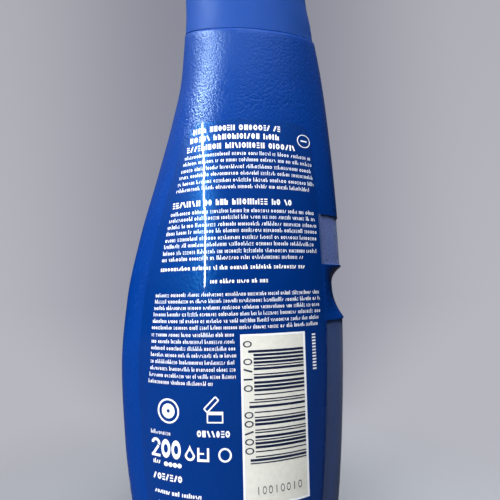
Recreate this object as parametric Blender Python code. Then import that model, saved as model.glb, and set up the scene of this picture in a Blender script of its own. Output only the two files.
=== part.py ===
# Flip-top lotion bottle: a blow-moulded oval flask with a finger notch, a clear film on its back,
# and a closure pressed over its neck, whose lid swings on a living hinge.
# Metres, +Z up. The photographed back faces -Y and the finger notch is at +X.
import math

import bpy
import bmesh
from mathutils import Matrix, Vector

# Fit of the pieces on each other
clearance = 0.0003
overrun = 0.001

# Flask: overall sizes
body_reach = 0.03265
body_half_depth = 0.0192
line_height = 0.154
line_slope_degrees = 5.3
line_sag = 0.0051
line_sag_round = 0.0025
line_sag_fade_share = 0.70
neck_offset = 0.0067
flask_wall = 0.0010
heel_radius = 0.0045
rest_width = 0.0014
base_recess = 0.0015
base_recess_slope = 0.0008
shoulder_radius = 0.0008

# Flask: outlines, as shares of line_height beside shares of body_reach, body_half_depth or neck_offset
left_outline_shares = [
    (0.000, 0.800), (0.084, 0.880), (0.221, 0.967), (0.357, 1.000), (0.474, 0.956),
    (0.591, 0.842), (0.708, 0.687), (0.825, 0.541), (0.909, 0.458), (1.000, 0.421)]
right_outline_shares = [
    (0.000, 0.800), (0.084, 0.884), (0.221, 0.951), (0.357, 0.990), (0.429, 1.000), (0.523, 0.996),
    (0.591, 0.989), (0.708, 0.965), (0.825, 0.928), (0.909, 0.890), (1.000, 0.830)]
depth_outline_shares = [
    (0.000, 0.820), (0.091, 0.912), (0.221, 0.964), (0.357, 1.000), (0.474, 0.995),
    (0.591, 0.979), (0.708, 0.917), (0.825, 0.833), (0.909, 0.781), (1.000, 0.734)]
crest_outline_shares = [
    (0.000, 0.000), (0.474, 0.000), (0.591, 0.060), (0.708, 0.209), (0.825, 0.492),
    (0.909, 0.746), (1.000, 1.000)]
tilt_start_share = 0.60
end_arc_share = 0.54

# Finger notch in the right-hand edge, and the two sunk grip pads above and below it
notch_top = 0.0811
notch_bottom = 0.0666
notch_depth = 0.0030
notch_reach = 0.0070
notch_deepest_share = 0.34
notch_fullness_share = 2.3
grip_depth = 0.00035
grip_reach = 0.0068
grip_land = 0.0006
grip_top = 0.0955
grip_bottom = 0.0120

# Neck, with its snap bead; its radius is a share of the half depth, so that it fits inside the closure
neck_depth_share = 0.4583
neck_radius = neck_depth_share * body_half_depth
neck_wall = 0.0013
neck_root_rise = 0.0042
neck_top_rise = 0.0140
bead_rise = 0.0102
bead_height = 0.0016
bead_reach = 0.0006
register_rise = 0.0014

# Clear film on the back
film_thickness = 0.00015
film_top = 0.1210
film_bottom = 0.0120
film_margin = 0.0076
film_corner = 0.0040

# Closure: overall sizes
closure_height = 0.0355
closure_step = 0.0003
cap_wall = 0.0014
split_rise = 0.0170
deck_thickness = 0.0013
rim_height = 0.0014
rim_wall = 0.0009
spout_bore_radius = 0.0039
spout_wall = 0.0010
spout_height = 0.0026
plug_reach = 0.0020
plug_wall = 0.0009
sleeve_wall = 0.0009
sleeve_length = 0.0085
snap_height = 0.0007
thumb_depth = 0.0008
thumb_half_width = 0.0085
thumb_height = 0.0055
lid_wall = 0.0013
lid_roof = 0.0016
pin_taper = 0.0003
pin_depth = 0.0012
pin_root_radius = 0.0041
dome_fullness_share = 3.4

# Closure: how far each side has drawn in, as shares of closure_height beside shares of the size at the line
closure_left_shares = [(0.00, 1.000), (0.20, 0.988), (0.36, 0.992), (0.60, 0.985), (0.85, 0.955), (1.00, 0.930)]
closure_right_shares = [
    (0.00, 1.005), (0.14, 0.983), (0.30, 0.933), (0.39, 0.918), (0.60, 0.860), (0.85, 0.790), (1.00, 0.750)]
closure_depth_shares = [(0.00, 1.000), (0.36, 0.965), (0.60, 0.925), (0.85, 0.870), (1.00, 0.840)]

# Living hinge at the back of the closure
hinge_width = 0.0080
hinge_half_height = 0.0019
hinge_thickness = 0.0004
hinge_groove = 0.00015
hinge_pocket_depth = 0.00095

# Faces round a ring, and steps along each form
quarter_steps = 12
heel_steps = 4
shoulder_steps = 3
lower_steps = 7
notch_steps = 8
upper_steps = 11
film_rows = 22
film_columns = 10
grip_rows = 9
grip_columns = 6
dome_shares = [0.35, 0.60, 0.78, 0.90, 0.965, 0.992]
cap_outer_shares = [0.25, 0.50, 0.70, 0.80, 0.88, 0.95, 1.00]


def clear_scene():
    for thing in list(bpy.data.objects):
        bpy.data.objects.remove(thing, do_unlink=True)


def read_curve(shares, place):
    # reads a smooth curve through the points that never overshoots them
    if place <= shares[0][0]:
        return shares[0][1]
    if place >= shares[-1][0]:
        return shares[-1][1]
    slopes = []
    for first, second in zip(shares, shares[1:]):
        slopes.append((second[1] - first[1]) / (second[0] - first[0]))
    tangents = [slopes[0]]
    for before, after in zip(slopes, slopes[1:]):
        same_way = before * after > 0
        tangents.append(2 * before * after / (before + after) if same_way else 0.0)
    tangents.append(slopes[-1])
    for index in range(len(shares) - 1):
        start, end = shares[index], shares[index + 1]
        if place <= end[0]:
            span = end[0] - start[0]
            t = (place - start[0]) / span
            rise = end[1] - start[1]
            bend_in = span * tangents[index]
            bend_out = span * tangents[index + 1]
            return start[1] + bend_in * t + (3 * rise - 2 * bend_in - bend_out) * t ** 2 \
                + (bend_in + bend_out - 2 * rise) * t ** 3
    return shares[-1][1]


def fade(share):
    # one at zero, falling smoothly to nothing at one and beyond
    share = min(max(share, 0.0), 1.0)
    return 0.5 + 0.5 * math.cos(math.pi * share)


def oval_point(turn, left, right, depth, crest, inset):
    # a point of a four-centre oval: turn runs 0 to 4 anticlockwise from +X, one for each quarter
    quarter = int(turn) % 4
    angle = (turn - int(turn)) * math.pi / 2
    if quarter in (1, 3):
        angle = math.pi / 2 - angle
    reach = right - crest if quarter in (0, 3) else left + crest
    end_radius = end_arc_share * depth
    flat = reach - end_radius
    flank_radius = (flat ** 2 + depth ** 2 - end_radius ** 2) / (2 * (depth - end_radius))
    meeting_angle = math.atan2(flank_radius - depth, flat)
    if angle <= meeting_angle:
        across = flat + (end_radius - inset) * math.cos(angle)
        out = (end_radius - inset) * math.sin(angle)
    else:
        across = (flank_radius - inset) * math.cos(angle)
        out = depth - flank_radius + (flank_radius - inset) * math.sin(angle)
    x = crest + across if quarter in (0, 3) else crest - across
    y = out if quarter in (0, 1) else -out
    return x, y


def flask_sizes(height):
    share = height / line_height
    left = body_reach * read_curve(left_outline_shares, share)
    right = body_reach * read_curve(right_outline_shares, share)
    depth = body_half_depth * read_curve(depth_outline_shares, share)
    crest = neck_offset * read_curve(crest_outline_shares, share)
    return left, right, depth, crest


def notch_at(height):
    # how far the finger notch reaches in at this height
    deepest = notch_top - notch_deepest_share * (notch_top - notch_bottom)
    if height >= deepest:
        share = (height - deepest) / (notch_top - deepest)
    else:
        share = (deepest - height) / (deepest - notch_bottom)
    if share >= 1:
        return 0.0
    return notch_depth * (1 - share ** notch_fullness_share)


def flask_point(turn, height, inset):
    left, right, depth, crest = flask_sizes(height)
    x, y = oval_point(turn, left, right, depth, crest, inset)
    x -= notch_at(height) * fade((right - inset - x) / notch_reach)
    return x, y


def line_drop(x):
    # how far the sloping joint line has fallen at x, counted from the neck's axis
    return math.tan(math.radians(line_slope_degrees)) * (x - neck_offset)


def sag_at(y, rise):
    # how far the joint line sags between the sides and the middle of the front or back, fading up the closure
    depth = flask_sizes(line_height)[2]
    bend = math.hypot(y, line_sag_round) - line_sag_round
    full_bend = math.hypot(depth, line_sag_round) - line_sag_round
    return line_sag * bend / full_bend * fade(rise / (line_sag_fade_share * split_rise))


def turns():
    return [step / quarter_steps for step in range(4 * quarter_steps)]


def flask_ring(height, inset):
    # a ring of the flask's skin, level low down and bending towards the sloping, sagging shoulder
    share = (height / line_height - tilt_start_share) / (1 - tilt_start_share)
    tilt = 1 - fade(share)
    points = []
    for turn in turns():
        x, y = flask_point(turn, height, inset)
        z = height
        for _ in range(3):
            z = height - tilt * (line_drop(x) + sag_at(y, 0.0))
            x, y = flask_point(turn, min(z, line_height), inset)
        points.append(Vector((x, y, z)))
    return points


def tilted_ring(left, right, depth, crest, inset, height):
    points = []
    for turn in turns():
        x, y = oval_point(turn, left, right, depth, crest, inset)
        points.append(Vector((x, y, height - line_drop(x) - sag_at(y, height - line_height))))
    return points


def shoulder_ring(inset, rise):
    left, right, depth, crest = flask_sizes(line_height)
    return tilted_ring(left, right, depth, crest, inset, line_height + rise)


def round_ring(radius, rise, tilt=0.0):
    # a circle round the neck's axis, level or in the plane of the sloping joint line
    points = []
    for turn in turns():
        angle = turn * math.pi / 2
        x = neck_offset + radius * math.cos(angle)
        points.append(Vector((x, radius * math.sin(angle), line_height + rise - tilt * line_drop(x))))
    return points


def closure_sizes(rise):
    left, right, depth, crest = flask_sizes(line_height)
    share = rise / closure_height
    left = (left + crest - closure_step) * read_curve(closure_left_shares, share) - crest
    right = (right - crest - closure_step) * read_curve(closure_right_shares, share) + crest
    depth = (depth - closure_step) * read_curve(closure_depth_shares, share)
    return left, right, depth, crest


def closure_ring(rise, inset, thumb=False):
    left, right, depth, crest = closure_sizes(rise)
    points = tilted_ring(left, right, depth, crest, inset, line_height + rise)
    if thumb:
        deep = thumb_depth * fade((split_rise - rise) / thumb_height)
        for point in points:
            if point.y > 0:
                point.y -= deep * fade(abs(point.x - neck_offset) / thumb_half_width)
    return points


def dome_ring(share, inset, roof):
    # a ring of the lid's skin at a share of its height: its sides close in towards the top
    base = split_rise + clearance
    rise = base + share * (closure_height - roof - base)
    closing = (1 - share ** dome_fullness_share) ** (1 / dome_fullness_share)
    left, right, depth, crest = closure_sizes(rise)
    points = []
    for turn in turns():
        x, y = oval_point(turn, left, right, depth, crest, inset)
        x = crest + closing * (x - crest)
        points.append(Vector((x, closing * y, line_height + rise - line_drop(x))))
    return points


def add_material(thing, name, colour, roughness):
    material = bpy.data.materials.new(name)
    material.use_nodes = True
    shader = material.node_tree.nodes["Principled BSDF"]
    shader.inputs["Base Color"].default_value = (*colour, 1.0)
    shader.inputs["Roughness"].default_value = roughness
    shader.inputs["Metallic"].default_value = 0.0
    material.diffuse_color = (*colour, 1.0)
    thing.data.materials.append(material)


def add_thing(name, bm, sharp_degrees=30):
    bmesh.ops.recalc_face_normals(bm, faces=bm.faces)
    mesh = bpy.data.meshes.new(name)
    bm.to_mesh(mesh)
    bm.free()
    mesh.shade_smooth()
    mesh.set_sharp_from_angle(angle=math.radians(sharp_degrees))
    thing = bpy.data.objects.new(name, mesh)
    bpy.context.collection.objects.link(thing)
    return thing


def loft(name, rings, closed):
    # skins a row of rings: a closed row meets itself, an open one gets a face at either end
    bm = bmesh.new()
    column = bm.verts.layers.int.new("column")
    first_verts = [bm.verts.new(point) for point in rings[0]]
    for index, vert in enumerate(first_verts):
        vert[column] = index
    first_edges = [bm.edges.new(pair) for pair in zip(first_verts, first_verts[1:] + first_verts[:1])]
    verts, edges = first_verts, first_edges
    for ring in rings[1:]:
        grown = bmesh.ops.extrude_edge_only(bm, edges=edges)["geom"]
        verts = [item for item in grown if isinstance(item, bmesh.types.BMVert)]
        fresh = set(verts)
        edges = [item for item in grown if isinstance(item, bmesh.types.BMEdge) and fresh.issuperset(item.verts)]
        for vert in verts:
            vert.co = ring[vert[column]]
    verts.sort(key=lambda vert: vert[column])
    if closed:
        bmesh.ops.bridge_loops(bm, edges=edges + first_edges)
    else:
        bm.faces.new(first_verts)
        bm.faces.new(verts)
    return add_thing(name, bm)


def cut(thing, cutter):
    modifier = thing.modifiers.new(cutter.name, "BOOLEAN")
    modifier.operation = "DIFFERENCE"
    modifier.object = cutter
    modifier.solver = "EXACT"
    cutter.hide_render = True
    cutter.display_type = "WIRE"


def move_origin(thing, place):
    for vert in thing.data.vertices:
        vert.co -= place
    thing.location = place


def flask_heights():
    # heights of the flask's rings, close together where the notch is
    heights = []
    for step in range(1, lower_steps + 1):
        heights.append(heel_radius + (notch_bottom - heel_radius) * step / lower_steps)
    for step in range(1, notch_steps + 1):
        heights.append(notch_bottom + (notch_top - notch_bottom) * step / notch_steps)
    top = line_height - shoulder_radius
    for step in range(1, upper_steps + 1):
        heights.append(notch_top + (top - notch_top) * step / upper_steps)
    return heights


def base_rings(wall):
    # the foot: a sunk middle, a flat rest ring and the rounded heel
    left, right, depth, crest = flask_sizes(0.0)
    rings = []
    middle_inset = heel_radius + rest_width + base_recess_slope
    for inset, height in ((middle_inset, base_recess), (heel_radius + rest_width, 0.0)):
        points = []
        for turn in turns():
            x, y = oval_point(turn, left, right, depth, crest, inset)
            points.append(Vector((x, y, height + wall)))
        rings.append(points)
    radius = heel_radius - wall
    for step in range(heel_steps + 1):
        angle = step / heel_steps * math.pi / 2
        inset = wall + radius * (1 - math.sin(angle))
        rings.append(flask_ring(wall + radius * (1 - math.cos(angle)), inset))
    return rings


def shoulder_rings():
    # the rounded shoulder, and the raised register that the closure's skirt fits round
    rings = []
    for step in range(1, shoulder_steps + 1):
        angle = step / shoulder_steps * math.pi / 2
        inset = shoulder_radius * (1 - math.cos(angle))
        rings.append(flask_ring(line_height + shoulder_radius * (math.sin(angle) - 1), inset))
    register_inset = closure_step + cap_wall + clearance
    rings.append(shoulder_ring(register_inset, 0.0))
    rings.append(shoulder_ring(register_inset, register_rise))
    return rings


def neck_rings():
    # up the outside of the neck over its bead, and down the bore
    bead_radius = neck_radius + bead_reach
    bore_radius = neck_radius - neck_wall
    return [
        round_ring(neck_radius, neck_root_rise, 1.0),
        round_ring(neck_radius, bead_rise),
        round_ring(bead_radius, bead_rise + bead_reach),
        round_ring(bead_radius, bead_rise + bead_height - bead_reach),
        round_ring(neck_radius, bead_rise + bead_height),
        round_ring(neck_radius, neck_top_rise),
        round_ring(bore_radius, neck_top_rise),
        round_ring(bore_radius, neck_root_rise - flask_wall, 1.0)]


def make_flask():
    register_inset = closure_step + cap_wall + clearance
    rings = base_rings(0.0)
    for height in flask_heights():
        rings.append(flask_ring(height, 0.0))
    rings.extend(shoulder_rings())
    rings.extend(neck_rings())
    rings.append(shoulder_ring(register_inset + flask_wall, register_rise - flask_wall))
    rings.append(shoulder_ring(register_inset + flask_wall, -flask_wall))
    rings.append(shoulder_ring(shoulder_radius + flask_wall, -flask_wall))
    for height in reversed(flask_heights()):
        if height < line_height - shoulder_radius - flask_wall:
            rings.append(flask_ring(height, flask_wall))
    rings.extend(reversed(base_rings(flask_wall)))
    flask = loft("bottle", rings, False)
    add_material(flask, "flask_blue", (0.010, 0.075, 0.420), 0.38)
    return flask


def turn_at(x, height):
    # the turn round the flask's back at which its skin reaches x
    low, high = 2.0, 4.0
    for _ in range(30):
        middle = (low + high) / 2
        if flask_point(middle, height, 0.0)[0] < x:
            low = middle
        else:
            high = middle
    return low


def skin_slab(name, columns, rows, place, low_inset, high_inset):
    # a slab that follows the flask's skin between two depths below it
    bm = bmesh.new()
    turn_layer = bm.verts.layers.float.new("turn")
    height_layer = bm.verts.layers.float.new("height")
    bmesh.ops.create_grid(bm, x_segments=columns, y_segments=rows, size=1.0)
    for vert in bm.verts:
        vert[turn_layer], vert[height_layer] = place((vert.co.x + 1) / 2, (vert.co.y + 1) / 2)
    grown = bmesh.ops.extrude_face_region(bm, geom=bm.faces[:], use_keep_orig=True)["geom"]
    outer = {item for item in grown if isinstance(item, bmesh.types.BMVert)}
    for vert in bm.verts:
        height = vert[height_layer]
        x, y = flask_point(vert[turn_layer], height, high_inset if vert in outer else low_inset)
        vert.co = Vector((x, y, height))
    return add_thing(name, bm)


def film_place(across, up, grow):
    # a place on the film, whose edges keep an even margin to the flask's sides and round its corners
    top = film_top + grow
    bottom = film_bottom - grow
    height = bottom + (top - bottom) * (0.5 - 0.5 * math.cos(math.pi * up))
    left, right, _, _ = flask_sizes(height)
    corner = 0.0
    to_end = min(top - height, height - bottom)
    if to_end < film_corner:
        corner = film_corner - math.sqrt(film_corner ** 2 - (film_corner - to_end) ** 2)
    left_edge = film_margin - grow + corner - left
    right_edge = right - film_margin + grow - corner
    return turn_at(left_edge + (right_edge - left_edge) * across, height), height


def make_film(flask):
    def film(across, up):
        return film_place(across, up, 0.0)

    def recess(across, up):
        return film_place(across, up, clearance)

    label = skin_slab("back_label", film_columns, film_rows, film, film_thickness, 0.0)
    add_material(label, "clear_film", (0.020, 0.110, 0.520), 0.12)
    sunk = film_thickness + clearance
    cut(flask, skin_slab("label_recess", film_columns, film_rows, recess, sunk, -overrun))
    return label


def cut_grips(flask):
    def grip(bottom, top):
        def place(across, up):
            height = bottom + (top - bottom) * up
            right = flask_sizes(height)[1]
            reach = 4.0 - turn_at(right - grip_reach, height)
            return 4.0 - reach + 2 * reach * across, height
        return place

    upper = grip(notch_top + grip_land, grip_top)
    lower = grip(grip_bottom, notch_bottom - grip_land)
    cut(flask, skin_slab("upper_grip", grip_columns, grip_rows, upper, grip_depth, -overrun))
    cut(flask, skin_slab("lower_grip", grip_columns, grip_rows, lower, grip_depth, -overrun))


def make_cap_base():
    rim_inset = lid_wall + clearance
    under_deck = split_rise - deck_thickness
    spout_top = split_rise + spout_height
    plug_radius = neck_radius - neck_wall - clearance
    plug_bottom = neck_top_rise - plug_reach
    sleeve_radius = neck_radius + bead_reach + clearance
    snap_radius = neck_radius + clearance
    snap_top = bead_rise - clearance
    rings = [closure_ring(clearance, cap_wall), closure_ring(clearance, 0.0)]
    for share in cap_outer_shares:
        rings.append(closure_ring(share * split_rise, 0.0, thumb=True))
    rings.append(closure_ring(split_rise, rim_inset))
    rings.append(closure_ring(split_rise + rim_height, rim_inset))
    rings.append(closure_ring(split_rise + rim_height, rim_inset + rim_wall))
    rings.append(closure_ring(split_rise, rim_inset + rim_wall))
    rings.append(round_ring(spout_bore_radius + spout_wall, split_rise, 1.0))
    rings.append(round_ring(spout_bore_radius + spout_wall, spout_top))
    rings.append(round_ring(spout_bore_radius, spout_top))
    rings.append(round_ring(spout_bore_radius, under_deck, 1.0))
    rings.append(round_ring(plug_radius - plug_wall, under_deck, 1.0))
    rings.append(round_ring(plug_radius - plug_wall, plug_bottom))
    rings.append(round_ring(plug_radius, plug_bottom))
    rings.append(round_ring(plug_radius, under_deck, 1.0))
    rings.append(round_ring(sleeve_radius, under_deck, 1.0))
    rings.append(round_ring(sleeve_radius, snap_top + bead_reach))
    rings.append(round_ring(snap_radius, snap_top))
    rings.append(round_ring(snap_radius, snap_top - snap_height))
    rings.append(round_ring(sleeve_radius, snap_top - snap_height - bead_reach))
    rings.append(round_ring(sleeve_radius, under_deck - sleeve_length))
    rings.append(round_ring(sleeve_radius + sleeve_wall, under_deck - sleeve_length))
    rings.append(round_ring(sleeve_radius + sleeve_wall, under_deck, 1.0))
    rings.append(closure_ring(under_deck, cap_wall))
    rings.append(closure_ring(under_deck / 2, cap_wall))
    cap = loft("cap_base", rings, True)
    add_material(cap, "closure_blue", (0.030, 0.140, 0.560), 0.22)
    return cap


def make_lid():
    spout_top = split_rise + spout_height
    pin_radius = spout_bore_radius - clearance
    roof_share = dome_shares[-1]
    base = split_rise + clearance
    roof_rise = base + roof_share * (closure_height - lid_roof - base)
    rings = [
        round_ring(pin_radius - pin_taper, spout_top - pin_depth),
        round_ring(pin_radius, spout_top),
        round_ring(pin_root_radius, roof_rise, 1.0)]
    for share in reversed([0.0] + dome_shares):
        rings.append(dome_ring(share, lid_wall, lid_roof))
    for share in [0.0] + dome_shares:
        rings.append(dome_ring(share, 0.0, 0.0))
    lid = loft("flip_lid", rings, False)
    add_material(lid, "closure_blue_lid", (0.030, 0.140, 0.560), 0.22)
    return lid


def hinge_place():
    # the middle of the living hinge, on the axis that the lid turns about
    depth = closure_sizes(split_rise)[2]
    y = hinge_pocket_depth - clearance - hinge_thickness / 2 - depth
    return Vector((neck_offset, y, line_height + split_rise + clearance / 2))


def tilt_to_line(bm):
    turn = Matrix.Rotation(math.radians(line_slope_degrees), 4, "Y")
    bmesh.ops.transform(bm, matrix=Matrix.Translation(hinge_place()) @ turn, verts=bm.verts)


def make_hinge():
    # a strap with a fold line scored across its outer face
    half = hinge_thickness / 2
    profile = [
        (half, -hinge_half_height), (half, hinge_half_height), (-half, hinge_half_height),
        (-half, hinge_groove), (hinge_groove - half, 0.0), (-half, -hinge_groove), (-half, -hinge_half_height)]
    bm = bmesh.new()
    face = bm.faces.new([bm.verts.new((-hinge_width / 2, y, z)) for y, z in profile])
    grown = bmesh.ops.extrude_face_region(bm, geom=[face], use_keep_orig=True)["geom"]
    far_verts = [item for item in grown if isinstance(item, bmesh.types.BMVert)]
    bmesh.ops.translate(bm, verts=far_verts, vec=(hinge_width, 0.0, 0.0))
    tilt_to_line(bm)
    hinge = add_thing("living_hinge", bm)
    add_material(hinge, "closure_blue_hinge", (0.030, 0.140, 0.560), 0.30)
    return hinge


def make_hinge_pocket():
    width = hinge_width + 2 * clearance
    height = 2 * (hinge_half_height + clearance)
    inner = hinge_thickness / 2 + clearance
    outer = hinge_pocket_depth + overrun - inner
    bm = bmesh.new()
    bmesh.ops.create_cube(bm, size=1.0)
    bmesh.ops.scale(bm, vec=(width, inner + outer, height), verts=bm.verts)
    bmesh.ops.translate(bm, vec=(0.0, (inner - outer) / 2, 0.0), verts=bm.verts)
    tilt_to_line(bm)
    return add_thing("hinge_pocket", bm)


def make_bottle():
    clear_scene()
    flask = make_flask()
    make_film(flask)
    cut_grips(flask)
    pocket = make_hinge_pocket()
    cap = make_cap_base()
    cut(cap, pocket)
    lid = make_lid()
    cut(lid, pocket)
    move_origin(lid, hinge_place())
    hinge = make_hinge()
    move_origin(hinge, hinge_place())


make_bottle()
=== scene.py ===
# Looks of the flip-top lotion bottle: fine skins, closure, film with its print, stage, light and camera.
# Metres, +Z up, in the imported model's own frame; the photographed back faces -Y.
import math
import random

import bmesh
import bpy
from mathutils import Matrix, Vector
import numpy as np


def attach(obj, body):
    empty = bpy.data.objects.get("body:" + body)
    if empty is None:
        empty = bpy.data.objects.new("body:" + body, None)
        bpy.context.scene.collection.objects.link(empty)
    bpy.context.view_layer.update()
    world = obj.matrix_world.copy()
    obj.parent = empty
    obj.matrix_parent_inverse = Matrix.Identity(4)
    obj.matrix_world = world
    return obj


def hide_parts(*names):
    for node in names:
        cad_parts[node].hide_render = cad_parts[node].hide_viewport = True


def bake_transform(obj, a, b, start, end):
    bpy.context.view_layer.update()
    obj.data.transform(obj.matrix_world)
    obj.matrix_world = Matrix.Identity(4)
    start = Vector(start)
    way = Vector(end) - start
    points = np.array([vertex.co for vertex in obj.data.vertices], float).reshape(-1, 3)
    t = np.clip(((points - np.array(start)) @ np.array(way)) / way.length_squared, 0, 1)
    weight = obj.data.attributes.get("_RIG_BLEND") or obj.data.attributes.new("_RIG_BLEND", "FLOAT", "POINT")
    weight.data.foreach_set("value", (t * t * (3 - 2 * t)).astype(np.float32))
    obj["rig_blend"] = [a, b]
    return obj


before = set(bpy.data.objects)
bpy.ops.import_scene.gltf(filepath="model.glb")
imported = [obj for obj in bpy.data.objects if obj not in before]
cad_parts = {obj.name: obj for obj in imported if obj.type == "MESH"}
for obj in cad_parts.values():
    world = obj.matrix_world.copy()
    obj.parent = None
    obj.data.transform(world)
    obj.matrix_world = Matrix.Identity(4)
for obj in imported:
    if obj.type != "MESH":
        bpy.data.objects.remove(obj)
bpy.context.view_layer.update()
print("frame loaded:", sorted(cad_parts))


# ---- shape of the flask, read from the same curves as the solids

flask = {
    "reach": 0.03265,
    "halfDepth": 0.0192,
    "lineHeight": 0.154,  # the closure's lower edge on the neck's axis
    "lineSlope": math.radians(5.3),
    "sag": 0.0051,  # how much lower the joint line runs in the middle of the back than at the sides
    "sagRound": 0.0025,
    "sagFade": 0.0119,
    "neckOffset": 0.0067,
    "wall": 0.001,
    "heel": 0.0045,
    "rest": 0.0014,
    "recess": 0.0015,
    "recessSlope": 0.0008,
    "recessForm": [(1.0, 1.0), (0.7, 0.93), (0.3, 0.20), (0.0, 0.0)],  # inwards and up, as shares of both
    "innerTop": 0.0025,
    "innerGap": 0.005,
    "shoulder": 0.0008,
    "tiltStart": 0.60,
    "endArc": 0.54,
    "ringGap": 0.0013,
    "columns": 104,  # faces round the flask beside the pads
    "left": [(0.000, 0.800), (0.084, 0.880), (0.221, 0.967), (0.357, 1.000), (0.474, 0.956),
             (0.591, 0.842), (0.708, 0.687), (0.825, 0.541), (0.909, 0.458), (1.000, 0.421)],
    "right": [(0.000, 0.800), (0.084, 0.884), (0.221, 0.951), (0.357, 0.990), (0.429, 1.000), (0.523, 0.996),
              (0.591, 0.989), (0.708, 0.965), (0.825, 0.928), (0.909, 0.890), (1.000, 0.830)],
    "depth": [(0.000, 0.820), (0.091, 0.912), (0.221, 0.964), (0.357, 1.000), (0.474, 0.995),
              (0.591, 0.979), (0.708, 0.917), (0.825, 0.833), (0.909, 0.781), (1.000, 0.734)],
    "crest": [(0.000, 0.000), (0.474, 0.000), (0.591, 0.060), (0.708, 0.209), (0.825, 0.492),
              (0.909, 0.746), (1.000, 1.000)],
}

notch = {"top": 0.0811, "bottom": 0.0666, "depth": 0.0030, "reach": 0.0070, "deepest": 0.34, "fullness": 2.3,
         "ringGap": 0.00034}

grip = {
    "depth": 0.00035,
    "reach": 0.0068,
    "land": 0.0006,
    "top": 0.0955,
    "bottom": 0.0120,
    "lip": 0.00018,  # run of the small wall round each sunk pad
    "columns": 12,
}

neck = {"radius": 0.0088, "wall": 0.0013, "rootRise": 0.0042, "topRise": 0.0140,
        "beadRise": 0.0102, "beadHeight": 0.0016, "beadReach": 0.0006, "registerRise": 0.0014}

closure = {
    "height": 0.0355,
    "step": 0.0003,
    "gap": 0.0003,
    "seat": 0.0001,  # height of the skirt's edge over the shoulder
    "wall": 0.0014,
    "split": 0.0170,
    "left": [(0.00, 1.000), (0.20, 0.988), (0.36, 0.992), (0.60, 0.985), (0.85, 0.955), (1.00, 0.930)],
    "right": [(0.00, 1.005), (0.14, 0.983), (0.30, 0.933), (0.39, 0.918), (0.60, 0.860), (0.85, 0.790),
              (1.00, 0.750)],
    "depth": [(0.00, 1.000), (0.36, 0.965), (0.60, 0.925), (0.85, 0.870), (1.00, 0.840)],
    "quarter": 36,  # faces in a quarter turn
    "edgeBand": 0.0006,
    "ringGap": 0.0009,
    "softEdge": 0.00022,
    "softSteps": 3,
    "softAngle": math.radians(35),
}


def readCurve(shares, place):
    # a smooth curve through the points that never overshoots them
    place = min(max(place, shares[0][0]), shares[-1][0])
    slopes = [(b[1] - a[1]) / (b[0] - a[0]) for a, b in zip(shares, shares[1:])]
    tangents = [slopes[0]]
    tangents += [2 * a * b / (a + b) if a * b > 0 else 0.0 for a, b in zip(slopes, slopes[1:])]
    tangents.append(slopes[-1])
    for index, (start, end) in enumerate(zip(shares, shares[1:])):
        if place <= end[0]:
            span = end[0] - start[0]
            t = (place - start[0]) / span
            rise = end[1] - start[1]
            bendIn = span * tangents[index]
            bendOut = span * tangents[index + 1]
            return start[1] + bendIn * t + (3 * rise - 2 * bendIn - bendOut) * t ** 2 \
                + (bendIn + bendOut - 2 * rise) * t ** 3


def fade(share):
    # one at zero, falling smoothly to nothing at one
    return 0.5 + 0.5 * math.cos(math.pi * min(max(share, 0.0), 1.0))


def ovalArcs(left, right, depth, crest, onRight):
    # end radius, its centre's distance from the crest, and the flank's radius
    reach = right - crest if onRight else left + crest
    endRadius = flask["endArc"] * depth
    flat = reach - endRadius
    flankRadius = (flat ** 2 + depth ** 2 - endRadius ** 2) / (2 * (depth - endRadius))
    return endRadius, flat, flankRadius


def ovalPoint(turn, sizes, inset):
    # turn runs 0 to 4 anticlockwise from +X, one for each quarter of the oval
    left, right, depth, crest = sizes
    turn = turn % 4
    quarter = int(turn)
    angle = (turn - quarter) * math.pi / 2
    if quarter in (1, 3):
        angle = math.pi / 2 - angle
    onRight = quarter in (0, 3)
    endRadius, flat, flankRadius = ovalArcs(left, right, depth, crest, onRight)
    if angle <= math.atan2(flankRadius - depth, flat):
        across = flat + (endRadius - inset) * math.cos(angle)
        out = (endRadius - inset) * math.sin(angle)
    else:
        across = (flankRadius - inset) * math.cos(angle)
        out = depth - flankRadius + (flankRadius - inset) * math.sin(angle)
    return crest + (across if onRight else -across), out if quarter in (0, 1) else -out


def flaskSizes(height):
    share = height / flask["lineHeight"]
    left, right, depth, crest = (readCurve(flask[key], share) for key in ("left", "right", "depth", "crest"))
    return flask["reach"] * left, flask["reach"] * right, flask["halfDepth"] * depth, flask["neckOffset"] * crest


def notchAt(height):
    deepest = notch["top"] - notch["deepest"] * (notch["top"] - notch["bottom"])
    if height >= deepest:
        share = (height - deepest) / (notch["top"] - deepest)
    else:
        share = (deepest - height) / (deepest - notch["bottom"])
    return 0.0 if share >= 1 else notch["depth"] * (1 - share ** notch["fullness"])


def flaskPoint(turn, height, inset):
    sizes = flaskSizes(height)
    x, y = ovalPoint(turn, sizes, inset)
    return x - notchAt(height) * fade((sizes[1] - inset - x) / notch["reach"]), y


def lineDrop(x):
    # how far the sloping joint line has fallen at x
    return math.tan(flask["lineSlope"]) * (x - flask["neckOffset"])


def sagAt(y, rise):
    # how far the joint line sags towards the middle of the front or back, fading out up the closure
    depth = flaskSizes(flask["lineHeight"])[2]
    bend = math.hypot(y, flask["sagRound"]) - flask["sagRound"]
    fullBend = math.hypot(depth, flask["sagRound"]) - flask["sagRound"]
    return flask["sag"] * bend / fullBend * fade(rise / flask["sagFade"])


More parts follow.
